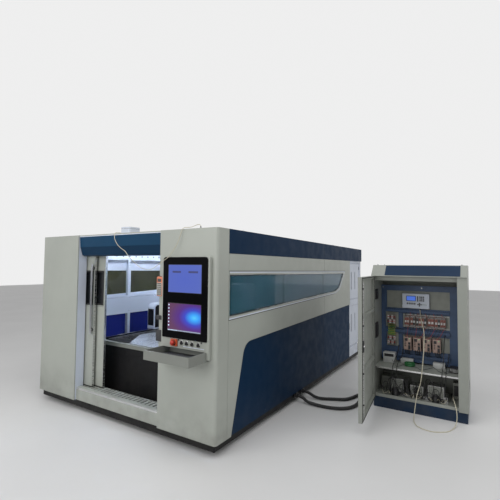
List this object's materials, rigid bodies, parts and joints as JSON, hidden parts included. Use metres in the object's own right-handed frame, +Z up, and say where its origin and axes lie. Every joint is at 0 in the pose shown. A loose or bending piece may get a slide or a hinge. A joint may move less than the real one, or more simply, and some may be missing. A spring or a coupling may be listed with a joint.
{
  "type": "fiber laser cutting machine",
  "caption": "Enclosed flat-bed laser cutter with sliding front door, control console and a separate electrical cabinet.",
  "frame": {"origin": "centre of the whole part's footprint, on the floor", "axes": "+Z up; the loading front faces -Y; +X towards the electrical cabinet"},
  "size_m": [4.68, 4.92, 2.15],
  "materials": {
    "light": "satin",
    "navy": "satin",
    "white": "satin",
    "black": "satin",
    "steel": "brushed",
    "glass": "tinted",
    "screen": "gloss",
    "red": "gloss",
    "orange": "satin",
    "plastic": "satin",
    "parts": "satin",
    "conduit": "satin",
    "beige": "satin"
  },
  "bodies": {
    "machine": {"base_frame": "black", "front_left_column": "light", "front_right_column": "light", "header_fascia": "navy", "sill_beam": "light", "door_track": "steel", "right_upper_panel": "light", "right_lower_panel": "navy", "right_top_band": "navy", "right_window": "glass", "right_wall_frame": "white", "left_upper_panel": "light", "left_lower_panel": "navy", "left_top_band": "navy", "left_window": "glass", "left_wall_frame": "white", "roof_panel": "light", "roof_box": "white", "rear_panel": "light", "bed_frame": "black", "slat_grid": "steel", "work_sheet": "steel", "console_housing": "light", "console_glass": "screen", "remote_pendant": "orange", "signal_lead": "beige", "controller_lead": "beige", "floor_conduit_1": "conduit", "floor_conduit_2": "conduit", "cabinet_body": "light", "cabinet_header_strip": "navy", "cabinet_plinth": "navy", "cabinet_shelf": "light", "mounting_plate": "navy", "controller_display": "white", "breaker_bank": "parts", "relay_bank": "parts", "drive_bank": "parts", "power_supply": "steel"},
    "leading_leaf": {"door_leaf_front": "light", "door_window_front": "glass", "door_handle": "steel"},
    "trailing_leaf": {"door_leaf_rear": "light", "door_window_rear": "glass"},
    "gantry": {"gantry_beam": "black", "gantry_end_left": "white", "gantry_end_right": "white", "x_cable_chain": "plastic"},
    "carriage": {"carriage_cover": "white"},
    "head": {"z_slide": "steel", "cutting_head": "steel"},
    "tray": {"keyboard_tray": "light"},
    "stop_button": {"emergency_stop_button": "red"},
    "knob_1": {"selector_knob_1": "plastic"},
    "knob_2": {"selector_knob_2": "plastic"},
    "knob_3": {"selector_knob_3": "plastic"},
    "knob_4": {"selector_knob_4": "plastic"},
    "upper_service_door": {"service_door_upper": "white"},
    "lower_service_door": {"service_door_lower": "white"},
    "cabinet_front_door": {"cabinet_door": "light"}
  },
  "joints": [
    {"name": "leading_leaf_slide", "type": "slide", "parent": "machine", "child": "leading_leaf", "axis": [1, 0, 0], "range_m": [0, 1.21]},
    {"name": "trailing_leaf_slide", "type": "slide", "parent": "machine", "child": "trailing_leaf", "axis": [1, 0, 0], "range_m": [0, 0.43]},
    {"name": "gantry_travel", "type": "slide", "parent": "machine", "child": "gantry", "axis": [0, 1, 0], "range_m": [-0.45, 2.2]},
    {"name": "carriage_travel", "type": "slide", "parent": "gantry", "child": "carriage", "axis": [1, 0, 0], "range_m": [-1.14, 0]},
    {"name": "head_travel", "type": "slide", "parent": "carriage", "child": "head", "axis": [0, 0, 1], "range_m": [-0.045, 0.12]},
    {"name": "tray_slide", "type": "slide", "parent": "machine", "child": "tray", "axis": [0, 1, 0], "range_m": [0, 0.2]},
    {"name": "stop_press", "type": "slide", "parent": "machine", "child": "stop_button", "axis": [0, 1, 0], "range_m": [0, 0.006], "stiffness_N_per_m": 800},
    {"name": "upper_service_hinge", "type": "hinge", "parent": "machine", "child": "upper_service_door", "pos_m": [0.4557, 2.3897, 1.45], "axis": [0, 0, 1], "range_deg": [0, 90]},
    {"name": "lower_service_hinge", "type": "hinge", "parent": "machine", "child": "lower_service_door", "pos_m": [0.4557, 2.3897, 0.65], "axis": [0, 0, 1], "range_deg": [0, 90]},
    {"name": "cabinet_door_hinge", "type": "hinge", "parent": "machine", "child": "cabinet_front_door", "pos_m": [1.324, -0.102, 0.86], "axis": [0, 0, 1], "range_deg": [-25, 66]},
    {"name": "knob_1_turn", "type": "hinge", "parent": "machine", "child": "knob_1", "pos_m": [0.108, -2.226, 0.988], "axis": [0, 1, 0], "range_deg": [-45, 45]},
    {"name": "knob_2_turn", "type": "hinge", "parent": "machine", "child": "knob_2", "pos_m": [0.169, -2.226, 0.988], "axis": [0, 1, 0], "range_deg": [-45, 45]},
    {"name": "knob_3_turn", "type": "hinge", "parent": "machine", "child": "knob_3", "pos_m": [0.235, -2.226, 0.988], "axis": [0, 1, 0], "range_deg": [-45, 45]},
    {"name": "knob_4_turn", "type": "hinge", "parent": "machine", "child": "knob_4", "pos_m": [0.308, -2.226, 0.988], "axis": [0, 1, 0], "range_deg": [-45, 45]}
  ],
  "couplings": [
    {"joint": "trailing_leaf_slide", "follows": "leading_leaf_slide", "ratio": 0.35}
  ]
}
